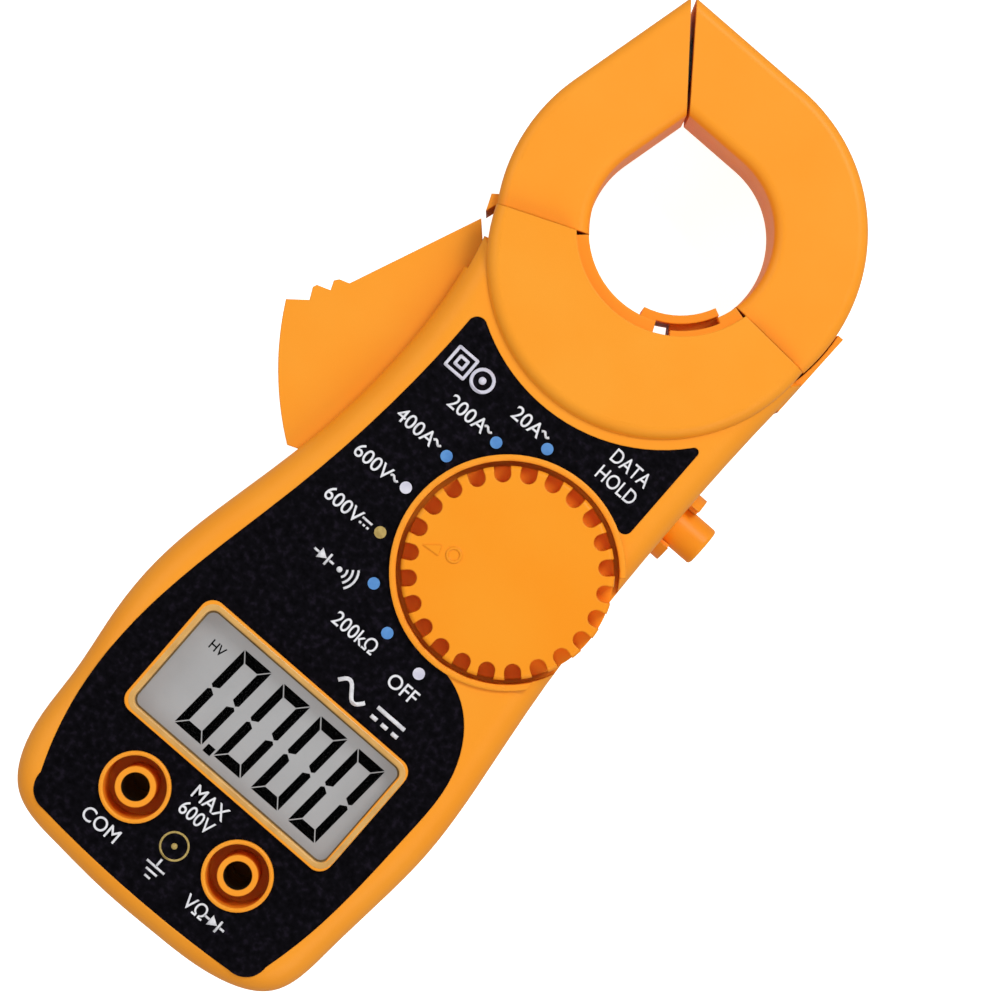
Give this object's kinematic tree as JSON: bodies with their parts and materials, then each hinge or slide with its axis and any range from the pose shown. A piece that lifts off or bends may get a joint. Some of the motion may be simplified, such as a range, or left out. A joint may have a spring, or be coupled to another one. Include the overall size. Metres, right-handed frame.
{
  "type": "clamp meter",
  "caption": "Pocket clamp meter with round range selector, digital display, two lead sockets and a hinged current-sensing jaw opened by a side trigger.",
  "frame": {"origin": "on the flat back of the body, on its centreline, level with the gap between display and selector", "axes": "+Z out of the front face, +Y along the body towards the jaws, +X to the right of a person reading it"},
  "size_m": [0.0681, 0.1499, 0.027],
  "materials": {
    "orange_shell": "fine satin moulding",
    "orange_jaw": "fine satin moulding",
    "orange_knob": "satin",
    "label_black": "leathery printed overlay",
    "clear_window": "clear",
    "lcd_grey": "grey reflective display",
    "white_nylon": "natural nylon",
    "contact_rubber": "conductive rubber",
    "board_green": "solder mask",
    "chip_black": "moulded epoxy",
    "can_dark": "sleeved can",
    "ceramic_orange": "dipped",
    "trimmer_blue": "moulded",
    "brass_plated": "turned",
    "cell_jacket": "plain jacket",
    "nickel": "nickel plated",
    "steel": "zinc plated",
    "core_steel": "laminated",
    "copper_wire": "enamelled wire"
  },
  "bodies": {
    "case": {"front_casing": "orange_shell", "rear_casing": "orange_shell", "front_label": "label_black", "display_window": "clear_window", "lcd_glass": "lcd_grey", "lcd_frame": "white_nylon", "lcd_contact_strips": "contact_rubber", "circuit_board": "board_green", "meter_chip": "chip_black", "piezo_buzzer": "chip_black", "capacitors": "can_dark", "ptc_thermistor": "ceramic_orange", "calibration_trimmer": "trimmer_blue", "input_jack_com": "brass_plated", "input_jack_volt": "brass_plated", "battery_1": "cell_jacket", "battery_2": "cell_jacket", "battery_springs": "nickel", "battery_plates": "nickel", "case_screws": "steel", "hold_switch": "chip_black", "fixed_jaw_front_shell": "orange_jaw", "fixed_jaw_rear_shell": "orange_jaw", "fixed_core": "core_steel", "coil_bobbin": "white_nylon", "coil_winding": "copper_wire", "jaw_pivot_pin": "steel"},
    "moving_jaw": {"moving_jaw_front_shell": "orange_jaw", "moving_jaw_rear_shell": "orange_jaw", "moving_core": "core_steel", "trigger_lever": "orange_jaw"},
    "selector": {"selector_knob": "orange_knob", "switch_rotor": "white_nylon", "wiper_contacts": "brass_plated", "detent_balls": "steel"},
    "hold_button": {"hold_button": "orange_knob"},
    "battery_cover": {"battery_cover": "orange_shell", "battery_cover_screw": "steel"}
  },
  "joints": [
    {"name": "jaw_hinge", "type": "hinge", "parent": "case", "child": "moving_jaw", "pos_m": [-0.0168, 0.0578, 0.01425], "axis": [0, 0, 1], "range_deg": [0, 28], "stiffness_Nm_per_rad": 0.12, "springref_deg": -11.46},
    {"name": "selector_turn", "type": "hinge", "parent": "case", "child": "selector", "pos_m": [0.0102, 0.028, 0.024], "axis": [0, 0, 1], "range_deg": [-90, 67.5]},
    {"name": "hold_press", "type": "slide", "parent": "case", "child": "hold_button", "axis": [-1, 0, 0], "range_m": [0, 0.0012], "stiffness_N_per_m": 900, "springref_m": -0.0005},
    {"name": "cover_lift", "type": "slide", "parent": "case", "child": "battery_cover", "axis": [0, 0, -1], "range_m": [0, 0.03]}
  ]
}
